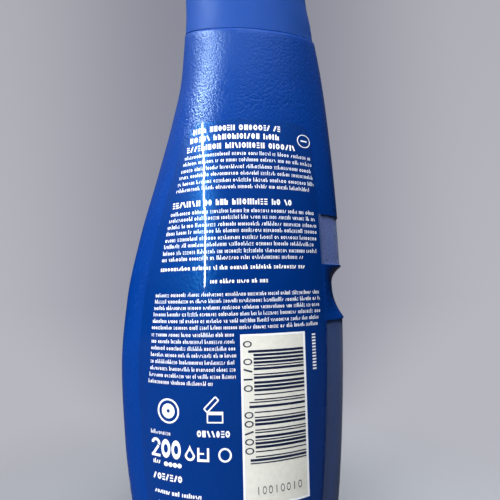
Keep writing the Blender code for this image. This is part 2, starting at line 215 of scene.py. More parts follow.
def backPlace(x, height, out):
    # the place on the flask's back at x and height, lifted a little way off it
    left, right, depth, crest = flaskSizes(height)
    endRadius, flat, flankRadius = ovalArcs(left, right, depth, crest, x > crest)
    side = 1 if x > crest else -1
    across = abs(x - crest)
    if across <= flankRadius * flat / (flankRadius - endRadius):
        normalX = across / flankRadius
        y = depth - flankRadius + flankRadius * math.sqrt(1 - normalX ** 2)
    else:
        normalX = (across - flat) / endRadius
        y = endRadius * math.sqrt(1 - normalX ** 2)
    return Vector((x + side * out * normalX, -y - out * math.sqrt(1 - normalX ** 2), height))


def closureSizes(rise):
    left, right, depth, crest = flaskSizes(flask["lineHeight"])
    share = rise / closure["height"]
    return ((left + crest - closure["step"]) * readCurve(closure["left"], share) - crest,
            (right - crest - closure["step"]) * readCurve(closure["right"], share) + crest,
            (depth - closure["step"]) * readCurve(closure["depth"], share), crest)


# ---- mesh helpers

sharpAngle = math.radians(32)


def meshFrom(name, bm, *materials):
    # a mesh of the bmesh's shape; the bmesh is freed
    mesh = bpy.data.meshes.new(name)
    bm.to_mesh(mesh)
    bm.free()
    for material in materials:
        mesh.materials.append(material)
    return mesh


def addObject(name, data):
    added = bpy.data.objects.new(name, data)
    bpy.context.scene.collection.objects.link(added)
    return added


def finishPiece(name, bm, body, materials, replaced=()):
    # turns the bmesh into a piece of the object that rides on its body
    bmesh.ops.recalc_face_normals(bm, faces=bm.faces)
    mesh = meshFrom(name, bm, *materials)
    mesh.shade_smooth()
    mesh.set_sharp_from_angle(angle=sharpAngle)
    piece = addObject(name, mesh)
    if body:
        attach(piece, body)
    if replaced:
        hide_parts(*replaced)
    print("made", name, len(mesh.polygons), "faces")
    return piece


def thicken(bm):
    # extrudes a flat sheet into a closed form and gives back the new layer's verts
    grown = bmesh.ops.extrude_face_region(bm, geom=bm.faces[:], use_keep_orig=True)["geom"]
    return {item for item in grown if isinstance(item, bmesh.types.BMVert)}


def loftRings(rings, closed=False, grains=None):
    # skins a row of rings; an open row gets a face at either end
    bm = bmesh.new()
    column = bm.verts.layers.int.new("column")
    strength = bm.verts.layers.float.new("grainAndSheen") if grains else None
    verts = [bm.verts.new(point) for point in rings[0]]
    for index, vert in enumerate(verts):
        vert[column] = index
    edges = [bm.edges.new(pair) for pair in zip(verts, verts[1:] + verts[:1])]
    firstVerts, firstEdges = verts, edges
    for level, ring in enumerate(rings):
        if level:
            grown = bmesh.ops.extrude_edge_only(bm, edges=edges)["geom"]
            verts = [item for item in grown if isinstance(item, bmesh.types.BMVert)]
            fresh = set(verts)
            edges = [item for item in grown if isinstance(item, bmesh.types.BMEdge) and fresh.issuperset(item.verts)]
        for vert in verts:
            vert.co = ring[vert[column]]
            if strength:
                vert[strength] = grains[level][vert[column]]
    if closed:
        bmesh.ops.bridge_loops(bm, edges=edges + firstEdges)
    else:
        verts.sort(key=lambda vert: vert[column])
        bm.faces.new(firstVerts)
        bm.faces.new(verts)
    return bm


def spaced(stops, gap):
    # the stops, with even steps no longer than the gap between them
    places = [stops[0]]
    for start, end in zip(stops, stops[1:]):
        steps = max(1, math.ceil((end - start) / gap))
        places += [start + (end - start) * step / steps for step in range(1, steps + 1)]
    return places


# ---- node groups and materials

def newGroup(name, inputs, outputs):
    # a node group; each input has its start value, or None for a vector
    group = bpy.data.node_groups.new(name, "ShaderNodeTree")
    for label, value in inputs.items():
        kind = "NodeSocketVector" if value is None else "NodeSocketFloat"
        socket = group.interface.new_socket(label, in_out="INPUT", socket_type=kind)
        if value is not None:
            socket.default_value = value
    for label in outputs:
        kind = "NodeSocketColor" if label == "Color" else "NodeSocketFloat"
        group.interface.new_socket(label, in_out="OUTPUT", socket_type=kind)
    return group, group.nodes.new("NodeGroupInput").outputs, group.nodes.new("NodeGroupOutput").inputs


def addNode(tree, kind, inputs=(), **settings):
    # a node with its settings; each input takes a value or the socket that feeds it
    node = tree.nodes.new(kind)
    for key, value in settings.items():
        setattr(node, key, value)
    for key, value in dict(inputs).items():
        if isinstance(value, bpy.types.NodeSocket):
            tree.links.new(value, node.inputs[key])
        else:
            node.inputs[key].default_value = value
    return node


def mathNode(tree, operation, *values):
    return addNode(tree, "ShaderNodeMath", enumerate(values), operation=operation).outputs[0]


def vectorNode(tree, operation, *values, scale=None):
    inputs = dict(enumerate(values))
    if scale is not None:
        inputs["Scale"] = scale
    return addNode(tree, "ShaderNodeVectorMath", inputs, operation=operation).outputs["Vector"]


def partOf(tree, vector, axis):
    return addNode(tree, "ShaderNodeSeparateXYZ", {0: vector}).outputs[axis]


def passage(tree, value, low, high, start=0.0, end=1.0, kind="SMOOTHSTEP"):
    # start up to low, end from high on, and a passage between them
    inputs = {"Value": value, "From Min": low, "From Max": high, "To Min": start, "To Max": end}
    return addNode(tree, "ShaderNodeMapRange", inputs, interpolation_type=kind).outputs["Result"]


def mixColours(tree, share, first, second):
    inputs = {"Factor": share, "A": (*first, 1.0), "B": (*second, 1.0)}
    return addNode(tree, "ShaderNodeMix", inputs, data_type="RGBA").outputs["Result"]


# the moulded cells: squash from top to bottom, how far and how fast they wander, fineness of the grit, bulge
cellForm = {"squash": 0.85, "wander": 0.00010, "wanderScale": 1400.0, "gritScale": 2.1, "bulge": 1.6}


def makeGrainGroup():
    # leather-like grain as moulded into the flask: rounded cells drawn out upwards, with a finer grit
    group, enter, leave = newGroup("mouldedGrain", {"Vector": None, "Cells per metre": 2000.0, "Grit": 0.35},
                                   ["Height", "Valley"])
    stretch = addNode(group, "ShaderNodeMapping", {"Vector": enter["Vector"], "Scale": (1.0, 1.0, cellForm["squash"])})
    place = stretch.outputs["Vector"]
    wander = addNode(group, "ShaderNodeTexNoise", {"Vector": place, "Scale": cellForm["wanderScale"], "Detail": 1.0})
    away = vectorNode(group, "SCALE", wander.outputs["Color"], scale=cellForm["wander"])
    moved = vectorNode(group, "ADD", place, away)
    count = enter["Cells per metre"]
    cells = addNode(group, "ShaderNodeTexVoronoi", {"Vector": moved, "Scale": count}, feature="F1").outputs["Distance"]
    gritScale = mathNode(group, "MULTIPLY", count, cellForm["gritScale"])
    grit = addNode(group, "ShaderNodeTexNoise", {"Vector": place, "Scale": gritScale, "Detail": 2.0}).outputs["Fac"]
    dome = mathNode(group, "SUBTRACT", 1.0, mathNode(group, "POWER", cells, cellForm["bulge"]))
    height = mathNode(group, "ADD", dome, mathNode(group, "MULTIPLY", grit, enter["Grit"]))
    group.links.new(height, leave["Height"])
    group.links.new(cells, leave["Valley"])
    return group


def makeCloudGroup():
    # slow, faint unevenness of a moulded or printed surface
    group, enter, leave = newGroup("slowCloud", {"Vector": None, "Scale": 60.0, "Low": 0.0, "High": 1.0}, ["Value"])
    noise = addNode(group, "ShaderNodeTexNoise", {"Vector": enter["Vector"], "Scale": enter["Scale"], "Detail": 3.0})
    value = passage(group, noise.outputs["Fac"], 0.3, 0.7, enter["Low"], enter["High"], "LINEAR")
    group.links.new(value, leave["Value"])
    return group


grainGroup = makeGrainGroup()
cloudGroup = makeCloudGroup()


def useGroup(tree, group, place, **values):
    # the group's outputs; each value goes to the input of its name, with _ for a space
    inputs = {key.replace("_", " "): value for key, value in values.items()}
    return addNode(tree, "ShaderNodeGroup", {"Vector": place, **inputs}, node_tree=group).outputs


def startMaterial(name, values):
    # a material whose Principled shader has the values, and the object's own coordinates
    material = bpy.data.materials.new(name)
    material.use_nodes = True
    tree = material.node_tree
    shader = tree.nodes["Principled BSDF"]
    for key, value in values.items():
        shader.inputs[key].default_value = value
    return material, tree, shader, addNode(tree, "ShaderNodeTexCoord").outputs["Object"]


def addColour(tree, shader, place, scale, first, second):
    # a base colour that drifts slowly between two near ones
    cloud = useGroup(tree, cloudGroup, place, Scale=scale)["Value"]
    tree.links.new(mixColours(tree, cloud, first, second), shader.inputs["Base Color"])


def addBump(tree, shader, height, distance):
    bump = addNode(tree, "ShaderNodeBump", {"Height": height, "Distance": distance})
    tree.links.new(bump.outputs["Normal"], shader.inputs["Normal"])


blues = {
    "flask": (0.0006, 0.0310, 0.1950),
    "flaskDark": (0.0005, 0.0270, 0.1750),
    "film": (0.0005, 0.0265, 0.1660),
    "filmDark": (0.0004, 0.0238, 0.1530),
    "closure": (0.0150, 0.0540, 0.2350),
    "closureDark": (0.0135, 0.0480, 0.2150),
    "gripLow": (0.0030, 0.0330, 0.1500),
    # painted sheen of the grip pads: light caught by their grain, painted as a paler colour
    "gripPaintedSheen": (0.1050, 0.1500, 0.4000),
    "gloss": (0.56, 0.80, 1.0, 1.0),
    "filmGloss": (0.06, 0.42, 1.0, 1.0),
}


def makeFlaskPlastic():
    # dyed polyethylene with moulded grain; the piece's own attribute says how strong the grain is
    material, tree, shader, place = startMaterial("flaskPlastic", {"Roughness": 0.26, "Specular Tint": blues["gloss"]})
    height = useGroup(tree, grainGroup, place, Cells_per_metre=1500.0, Grit=0.0)["Height"]
    strength = addNode(tree, "ShaderNodeAttribute", attribute_name="grainAndSheen").outputs["Fac"]
    addBump(tree, shader, mathNode(tree, "MULTIPLY", height, strength), 0.000060)
    addColour(tree, shader, place, 70.0, blues["flask"], blues["flaskDark"])

    # a little duller towards the closure
    rough = useGroup(tree, cloudGroup, place, Scale=240.0, Low=0.23, High=0.30)["Value"]
    duller = passage(tree, partOf(tree, place, "Z"), 0.122, 0.144, 0.0, 0.13)
    tree.links.new(mathNode(tree, "ADD", rough, duller), shader.inputs["Roughness"])
    return material


def makeGripPlastic():
    # the sunk pads: coarser, with painted sheen where the attribute says so: a paler, speckled colour that stands in
    # for light caught by their grain
    material, tree, shader, place = startMaterial("gripPlastic", {
        "Roughness": 0.58, "Specular Tint": blues["gloss"], "Sheen Weight": 0.12, "Sheen Roughness": 0.5})
    grainAndSheen = useGroup(tree, grainGroup, place, Cells_per_metre=2600.0, Grit=0.60)
    addBump(tree, shader, grainAndSheen["Height"], 0.00009)
    strength = addNode(tree, "ShaderNodeAttribute", attribute_name="grainAndSheen").outputs["Fac"]
    # painted sheen: how much paler the pad is painted, speckled by the grain's valleys
    pale = mathNode(tree, "SUBTRACT", strength, 1.3)
    speckle = mathNode(tree, "ADD", mathNode(tree, "MULTIPLY", grainAndSheen["Valley"], -1.1), 1.45)
    share = addNode(tree, "ShaderNodeClamp", {"Value": mathNode(tree, "MULTIPLY", pale, speckle)}).outputs["Result"]
    tree.links.new(mixColours(tree, share, blues["gripLow"], blues["gripPaintedSheen"]), shader.inputs["Base Color"])
    return material


def makeFilm():
    # clear glossy film: a sharp coat over the softer gloss of the plastic under it
    material, tree, shader, place = startMaterial("clearFilm", {
        "Roughness": 0.25, "Specular IOR Level": 1.0, "Specular Tint": blues["filmGloss"], "Coat Weight": 1.0,
        "Coat Roughness": 0.045})
    addColour(tree, shader, place, 55.0, blues["film"], blues["filmDark"])
    addBump(tree, shader, useGroup(tree, grainGroup, place, Cells_per_metre=1350.0, Grit=0.30)["Height"], 0.00005)
    return material


def makeClosurePlastic():
    # smooth glossy polypropylene that lets a little light in
    material, tree, shader, place = startMaterial("closurePlastic", {
        "Roughness": 0.42, "Specular IOR Level": 0.09, "Specular Tint": blues["gloss"], "Subsurface Weight": 0.25,
        "Subsurface Radius": (0.2, 0.6, 1.0), "Subsurface Scale": 0.0012})
    addColour(tree, shader, place, 60.0, blues["closure"], blues["closureDark"])
    rough = useGroup(tree, cloudGroup, place, Scale=180.0, Low=0.38, High=0.47)["Value"]
    tree.links.new(rough, shader.inputs["Roughness"])
    addBump(tree, shader, useGroup(tree, cloudGroup, place, Scale=300.0)["Value"], 0.000010)
    return material


def makeInk(name, first, second, roughness):
    # opaque print with a slightly uneven laydown
    material, tree, shader, place = startMaterial(name, {
        "Roughness": roughness, "Coat Weight": 0.6, "Coat Roughness": 0.05})
    addColour(tree, shader, place, 900.0, first, second)
    return material


flaskPlastic = makeFlaskPlastic()
gripPlastic = makeGripPlastic()
clearFilm = makeFilm()
closurePlastic = makeClosurePlastic()
whiteInk = makeInk("whiteInk", (0.88, 0.89, 0.90), (0.80, 0.82, 0.84), 0.35)
creamInk = makeInk("creamInk", (0.72, 0.695, 0.61), (0.66, 0.635, 0.565), 0.40)
darkInk = makeInk("darkInk", (0.004, 0.008, 0.030), (0.006, 0.012, 0.045), 0.35)
print("materials made")


# ---- flask

# strength of the moulded grain: full above the film, faint below; the pads' values also set their painted sheen,
# strongest on the upper pad and its walls, weaker on the lower pad
grainAndSheen = {"start": 0.112, "reach": 0.014, "lineReach": 0.0012, "upperPad": 2.1, "lowerPad": 1.5, "padFace": 1.25,
         "full": 1.1, "fall": 0.9,
         "notch": 0.08, "neck": 0.25, "base": 0.5}


def gripTurn(height):
    # the turn at which the skin reaches the edge of the sunk pads
    right = flaskSizes(height)[1]
    low, high = 0.0, 1.0
    for _ in range(24):
        middle = (low + high) / 2
        if flaskPoint(middle, height, 0.0)[0] > right - grip["reach"]:
            low = middle
        else:
            high = middle
    return low


def ringTurns(height):
    # columns of a ring: the pad's own, its two walls, and the rest round the flask
    edge = gripTurn(height)
    depth = flaskSizes(height)[2]
    lip = grip["lip"] / (flask["endArc"] * depth) * 2 / math.pi
    count = grip["columns"]
    turns = [(edge - lip) * step / count for step in range(0, count + 1)]
    around = [edge + (4 - 2 * edge) * step / flask["columns"] for step in range(flask["columns"] + 1)]
    return turns + around + [4 - turn for turn in reversed(turns[1:])]


def inPad(index, total):
    return index <= grip["columns"] or index >= total - grip["columns"]


def padHeight(height):
    # whether the height is inside either sunk pad
    upper = notch["top"] + grip["land"] <= height <= grip["top"]
    lower = grip["bottom"] <= height <= notch["bottom"] - grip["land"]
    return upper or lower


def flaskRing(height, inset, sunk=False, grains=None):
    share = (height / flask["lineHeight"] - flask["tiltStart"]) / (1 - flask["tiltStart"])
    tilt = 1 - fade(share)
    turns = ringTurns(height)
    points = []
    strengths = []
    sunk = sunk and padHeight(height)
    between = notch["bottom"] - grip["land"] < height < notch["top"] + grip["land"]
    for index, turn in enumerate(turns):
        pad = inPad(index, len(turns))
        beside = inPad(index - 1, len(turns)) or inPad(index + 1, len(turns))
        deep = inset + (grip["depth"] if sunk and pad else 0.0)
        x, y = flaskPoint(turn, height, deep)
        for _ in range(3):
            z = height - tilt * (lineDrop(x) + sagAt(y, 0.0))
            x, y = flaskPoint(turn, min(z, flask["lineHeight"]), deep)
        points.append(Vector((x, y, z)))
        # the upper pad and the walls beside it: strongest painted sheen, with a painted highlight along the walls
        if sunk and height > notch["top"] and (pad or beside):
            strength = grainAndSheen["upperPad"]
        elif sunk and pad:
            strength = grainAndSheen["lowerPad"]
        elif pad and between:
            strength = grainAndSheen["notch"]
        else:
            strength = grainAndSheen["full"] - grainAndSheen["fall"] * fade((z - grainAndSheen["start"]) / grainAndSheen["reach"])
            strength *= 1 - fade((flask["lineHeight"] - height) / grainAndSheen["lineReach"])
        strengths.append(strength)
    if grains is not None:
        grains.append(strengths)
    return points


def shoulderRing(turns, inset, rise):
    sizes = flaskSizes(flask["lineHeight"])
    points = []
    for turn in turns:
        x, y = ovalPoint(turn, sizes, inset)
        points.append(Vector((x, y, flask["lineHeight"] + rise - lineDrop(x) - sagAt(y, rise))))
    return points


def roundRing(turns, radius, rise, tilt=0.0):
    points = []
    for turn in turns:
        angle = turn * math.pi / 2
        x = flask["neckOffset"] + radius * math.cos(angle)
        points.append(Vector((x, radius * math.sin(angle), flask["lineHeight"] + rise - tilt * lineDrop(x))))
    return points


def baseRings(wall, grains):
    # the domed recess, the flat rest ring and the rounded heel
    turns = ringTurns(0.0)
    sizes = flaskSizes(0.0)
    outerInset = flask["heel"] + flask["rest"]
    rings = []
    for inwards, up in flask["recessForm"]:
        inset = outerInset + inwards * flask["recessSlope"]
        rise = up * flask["recess"] + wall
        rings.append([Vector((*ovalPoint(turn, sizes, inset), rise)) for turn in turns])
        grains.append([grainAndSheen["base"]] * len(turns))
    radius = flask["heel"] - wall
    for step in range(9):
        angle = step / 8 * math.pi / 2
        rings.append(flaskRing(wall + radius * (1 - math.cos(angle)), wall + radius * (1 - math.sin(angle)),
                               grains=grains))
    return rings


def makeFlask():
    grains = []
    rings = baseRings(0.0, grains)
    upperStart = notch["top"] + grip["land"]
    lowerEnd = notch["bottom"] - grip["land"]
    heights = spaced([flask["heel"], grip["bottom"] - grip["lip"], grip["bottom"], lowerEnd, lowerEnd + grip["lip"]],
                     flask["ringGap"])[1:]
    heights += spaced([lowerEnd + grip["lip"], notch["bottom"], notch["top"], upperStart - grip["lip"], upperStart],
                      notch["ringGap"])[1:]
    heights += spaced([upperStart, grip["top"], grip["top"] + grip["lip"], flask["lineHeight"] - flask["shoulder"]],
                      flask["ringGap"])[1:]
    for height in heights:
        rings.append(flaskRing(height, 0.0, True, grains))
    topTurns = ringTurns(flask["lineHeight"])
    for step in range(1, 7):
        angle = step / 6 * math.pi / 2
        rings.append(flaskRing(flask["lineHeight"] + flask["shoulder"] * (math.sin(angle) - 1),
                               flask["shoulder"] * (1 - math.cos(angle)), grains=grains))
    register = closure["step"] + closure["wall"] + closure["gap"]
    rings.append(shoulderRing(topTurns, register, 0.0))
    rings.append(shoulderRing(topTurns, register, neck["registerRise"]))
    bead = neck["radius"] + neck["beadReach"]
    bore = neck["radius"] - neck["wall"]
    for radius, rise, tilt in (
            (neck["radius"], neck["rootRise"], 1.0), (neck["radius"], neck["beadRise"], 0.0),
            (bead, neck["beadRise"] + neck["beadReach"], 0.0),
            (bead, neck["beadRise"] + neck["beadHeight"] - neck["beadReach"], 0.0),
            (neck["radius"], neck["beadRise"] + neck["beadHeight"], 0.0), (neck["radius"], neck["topRise"], 0.0),
            (bore, neck["topRise"], 0.0), (bore, neck["rootRise"] - flask["wall"], 1.0)):
        rings.append(roundRing(topTurns, radius, rise, tilt))
    wall = flask["wall"]
    rings.append(shoulderRing(topTurns, register + wall, neck["registerRise"] - wall))
    rings.append(shoulderRing(topTurns, register + wall, -wall))
    rings.append(shoulderRing(topTurns, flask["shoulder"] + wall, -wall))
    grains += [[grainAndSheen["neck"]] * len(topTurns)] * (len(rings) - len(grains))
    inner = spaced([flask["heel"], notch["bottom"], notch["top"], flask["lineHeight"] - flask["innerTop"]],
                   flask["innerGap"])
    for height in reversed(inner):
        rings.append(flaskRing(height, wall, False, grains))
    inside = []
    rings += reversed(baseRings(wall, inside))
    grains += reversed(inside)
    bm = loftRings(rings, False, grains)
    strength = bm.verts.layers.float["grainAndSheen"]
    # faces in and round the pads take the grip material with its painted sheen
    for face in bm.faces:
        if max(vert[strength] for vert in face.verts) > grainAndSheen["padFace"]:
            face.material_index = 1
    finishPiece("flaskShell", bm, "container", [flaskPlastic, gripPlastic], ("bottle",))


makeFlask()


# ---- clear film on the back

film = {"top": 0.1210, "bottom": 0.0120, "margin": 0.0076, "corner": 0.0040,
        "proud": 0.00006, "sunk": 0.00012, "columns": 36, "rows": 90}


def makeFilmSheet():
    bm = bmesh.new()
    bmesh.ops.create_grid(bm, x_segments=film["columns"], y_segments=film["rows"], size=1.0)
    outer = thicken(bm)
    for vert in bm.verts:
        across, up = (vert.co.x + 1) / 2, (vert.co.y + 1) / 2
        height = film["bottom"] + (film["top"] - film["bottom"]) * (0.5 - 0.5 * math.cos(math.pi * up))
        left, right, _, _ = flaskSizes(height)
        toEnd = min(film["top"] - height, height - film["bottom"])
        corner = 0.0
        if toEnd < film["corner"]:
            corner = film["corner"] - math.sqrt(film["corner"] ** 2 - (film["corner"] - toEnd) ** 2)
        leftEdge = film["margin"] + corner - left
        rightEdge = right - film["margin"] - corner
        out = film["proud"] if vert in outer else -film["sunk"]
        vert.co = backPlace(leftEdge + (rightEdge - leftEdge) * across, height, out)
    finishPiece("filmSheet", bm, "container", [clearFilm], ("back_label",))


makeFilmSheet()


# ---- print on the film, laid out flat in millimetres, x across and z up, and then wrapped onto the back

mm = 0.001
ink = {"thickness": 0.00002, "longest": 1.2, "tallest": 4.0, "tipTaper": 0.92, "tipPower": 1.5}


def layBar(bm, x0, x1, z0, z1, lean=0.0):
    # a flat bar, cut into short lengths so that it can follow the curve; lean turns it about its middle
    cuts = max(1, math.ceil((x1 - x0) / ink["longest"]))
    rows = max(1, math.ceil((z1 - z0) / ink["tallest"]))
    made = bmesh.ops.create_grid(bm, x_segments=cuts, y_segments=rows, size=0.5)["verts"]
    bmesh.ops.scale(bm, verts=made, vec=(x1 - x0, z1 - z0, 1.0))
    if lean:
        bmesh.ops.rotate(bm, verts=made, cent=(0, 0, 0), matrix=Matrix.Rotation(lean, 3, "Z"))
    bmesh.ops.translate(bm, verts=made, vec=((x0 + x1) / 2, (z0 + z1) / 2, 0.0))


def layBars(bm, x, z, bars):
    # several bars, each from its left to its right end and from its low to its high end, counted from the place
    for left, right, low, high in bars:
        layBar(bm, x + left, x + right, z + low, z + high)


def layRing(bm, x, z, outer, inner, tall=1.0, steps=40, angle=math.tau, start=0.0, drop=0.0):
    # a flat ring or an arc of one, spun from a short radial edge; drop draws its upper half out to a tip
    ring = bmesh.new()
    first = ring.verts.new((inner, 0.0, 0.0))
    last = ring.verts.new((outer, 0.0, 0.0))
    edge = ring.edges.new((first, last))
    bmesh.ops.spin(ring, geom=[first, last, edge], axis=(0, 0, 1), cent=(0, 0, 0), angle=angle, steps=steps,
                   use_merge=angle >= math.tau)
    bmesh.ops.rotate(ring, verts=ring.verts, cent=(0, 0, 0), matrix=Matrix.Rotation(start, 3, "Z"))
    bmesh.ops.scale(ring, verts=ring.verts, vec=(1.0, tall, 1.0))
    if drop:
        for vert in ring.verts:
            share = max(0.0, vert.co.y / outer)
            vert.co.x *= 1 - ink["tipTaper"] * share ** ink["tipPower"]
            vert.co.y *= 1 + drop * share
    bmesh.ops.translate(ring, verts=ring.verts, vec=(x, z, 0.0))
    part = meshFrom("ringPart", ring)
    bm.from_mesh(part)
    bpy.data.meshes.remove(part)


def layDisc(bm, x, z, radius):
    made = bmesh.ops.create_circle(bm, cap_ends=True, segments=24, radius=radius)["verts"]
    bmesh.ops.translate(bm, verts=made, vec=(x, z, 0.0))


def wrapPrint(name, bm, material, lift=0.0):
    # gives the flat marks their thickness and lays them on the film
    outer = thicken(bm)
    for vert in bm.verts:
        out = film["proud"] + lift + (ink["thickness"] if vert in outer else 0.0)
        vert.co = backPlace(vert.co.x * mm, vert.co.y * mm, out)
    finishPiece(name, bm, "container", [material])


# kinds of rows: stroke, mark width, gap between marks, low height, full height, gap between groups
rowKinds = {
    "head": (0.40, 1.00, 0.30, 1.60, 1.60, 0.85),
    "bold": (0.27, 0.60, 0.20, 0.85, 1.15, 0.50),
    "fine": (0.16, 0.52, 0.20, 0.80, 1.12, 0.44),
    "slim": (0.14, 0.44, 0.17, 0.74, 1.06, 0.38),
}

# rows of plain marks where the photograph has words: kind, middle height, left end, right end
markRows = [
    ("head", 118.6, -9.4, 15.2), ("head", 116.1, -10.3, 14.9), ("head", 113.5, -11.2, 18.9),
    ("fine", 111.1, -11.8, 23.4), ("fine", 109.3, -12.3, 23.5), ("fine", 107.4, -12.8, 23.2),
    ("fine", 105.6, -13.3, 23.8), ("fine", 103.7, -13.8, 23.9), ("fine", 101.9, -14.3, 23.7),
    ("head", 97.9, -15.1, 18.0),
    ("fine", 95.4, -15.7, 24.0), ("fine", 93.7, -16.1, 24.0), ("fine", 91.9, -16.5, 24.1),
    ("fine", 90.2, -16.9, 24.1), ("fine", 88.4, -17.2, 24.1), ("fine", 86.7, -17.5, 24.1),
    ("fine", 84.9, -17.8, 24.0), ("fine", 83.2, -18.1, 20.0),
    ("bold", 80.7, -18.4, 20.4), ("bold", 77.2, -4.8, 10.4),
    ("slim", 73.9, -19.8, 24.3), ("slim", 72.25, -20.0, 24.3), ("slim", 70.6, -20.2, 24.2),
    ("slim", 68.95, -20.4, 24.3), ("slim", 67.25, -20.6, 24.3), ("slim", 65.6, -20.9, 24.2),
    ("slim", 63.8, -20.9, 1.3), ("slim", 62.1, -20.9, 1.5), ("slim", 60.4, -21.0, 1.3),
    ("slim", 58.7, -21.1, 1.5), ("slim", 57.0, -21.2, 1.4), ("slim", 55.3, -21.3, 1.5),
    ("slim", 53.6, -21.5, 1.5), ("slim", 51.9, -21.8, -4.4),
    ("head", 39.9, -8.7, 0.3), ("slim", 39.2, -21.2, -15.6), ("bold", 31.9, -20.6, -18.0),
    ("head", 28.4, -20.6, -9.6), ("bold", 24.6, -20.2, -7.2), ("fine", 21.9, -19.4, -8.0),
]


# shares of a mark's width, height or stroke, and what the dice choose from
markForm = {"ringStroke": 0.85, "slantWidth": 0.8, "slant": (-0.36, 0.36), "dashWidth": 0.75, "dashStroke": 0.8,
            "stepHeight": 0.7, "counts": (2, 3, 5, 6, 7, 8, 9, 11), "widths": (0.85, 1.0, 1.1),
            "gaps": (0.85, 1.0, 1.15)}


def layMark(bm, x, low, wide, small, tall, stroke, dice):
    # one plain mark: a post, a pair of them, a ring, a slant, dashes or a step; gives back its right end
    kind = dice.choice(("post", "post", "pair", "ring", "ring", "slant", "dashes", "steps"))
    right = x + wide
    if kind == "post":
        right = x + stroke
        layBar(bm, x, right, low, low + dice.choice((small, tall)))
    elif kind == "pair":
        layBars(bm, 0.0, low, [(x, x + stroke, 0.0, small), (right - stroke, right, 0.0, small)])
    elif kind == "ring":
        inner = wide / 2 - stroke * markForm["ringStroke"]
        layRing(bm, x + wide / 2, low + small / 2, wide / 2, inner, small / wide, 14)
    elif kind == "slant":
        right = x + wide * markForm["slantWidth"]
        lean = dice.choice(markForm["slant"])
        layBar(bm, (x + right - stroke) / 2, (x + right + stroke) / 2, low, low + small, lean)
    elif kind == "dashes":
        right = x + wide * markForm["dashWidth"]
        stroke *= markForm["dashStroke"]
        for share in (0.0, 0.5, 1.0):
            base = low + (small - stroke) * share
            layBar(bm, x, right, base, base + stroke)
    else:
        layBar(bm, x, x + stroke, low, low + tall)
        layBar(bm, right - stroke, right, low, low + small * markForm["stepHeight"])
    return right


def layRow(bm, kind, height, left, right, dice):
    stroke, wide, gap, small, tall, space = rowKinds[kind]
    x = left
    low = height - small / 2
    while x < right - 2 * wide:
        for _ in range(dice.choice(markForm["counts"])):
            if x > right - wide:
                break
            x = layMark(bm, x, low, wide * dice.choice(markForm["widths"]), small, tall, stroke, dice)
            x += gap * dice.choice(markForm["gaps"])
        x += space


def makePrintRows():
    bm = bmesh.new()
    dice = random.Random(28)
    for row in markRows:
        layRow(bm, *row, dice)
    wrapPrint("printRows", bm, whiteInk)


# places, then rings by outer and inner radius, height to width and steps, and bars as layBars takes them
symbols = {
    "signPlace": (21.2, 116.1), "signRing": (1.95, 1.71), "signBars": [(-0.9, 0.9, -0.22, 0.22)],
    "roundPlace": (-16.2, 44.9), "roundRing": (2.95, 2.53, 1.05), "roundCore": (1.75, 0.45, 1.05, 30),
    "jarPlace": (-4.1, 42.5), "jarBars": [(-2.05, 2.05, 0.0, 0.34), (-2.05, -1.71, 0.34, 2.0),
                                         (1.71, 2.05, 0.34, 2.0), (-2.05, 2.05, 2.0, 2.8)],
    "lidPlace": (-5.0, 47.0), "lidTurn": 0.80, "lidLength": 4.1, "lidWidth": 1.15, "lidStroke": 0.34,
    "digitPlace": (-21.05, 33.2), "digitHeight": 4.6, "digitWidth": 2.5, "digitStroke": 0.66, "digitPitch": 2.8,
    "hook": (math.radians(200), math.radians(-20)), "digitSlant": (0.297, 0.30, 3.0, math.radians(-34)),
    "dropPlace": (-10.6, 34.5), "dropRing": (1.3, 0.75, 1.0, 32), "dropTip": 0.95,
    "cupPlace": (-7.2, 33.2), "cupBars": [(-1.5, -0.95, 0.0, 3.3), (0.95, 1.5, 0.0, 3.3), (-0.95, 0.95, 0.0, 0.6),
                                         (-0.95, 0.2, 1.7, 2.1)],
    "lastPlace": (-1.8, 34.9), "lastRing": (1.65, 1.2, 1.05, 30),
    "dotPlace": (-17.0, 31.7), "dotRadius": 0.57, "dotPitch": 1.22,
    "dashPlace": (21.2, 53.9), "dash": (0.0, 1.0, 0.0, 0.4), "dashPitch": 0.80,
}


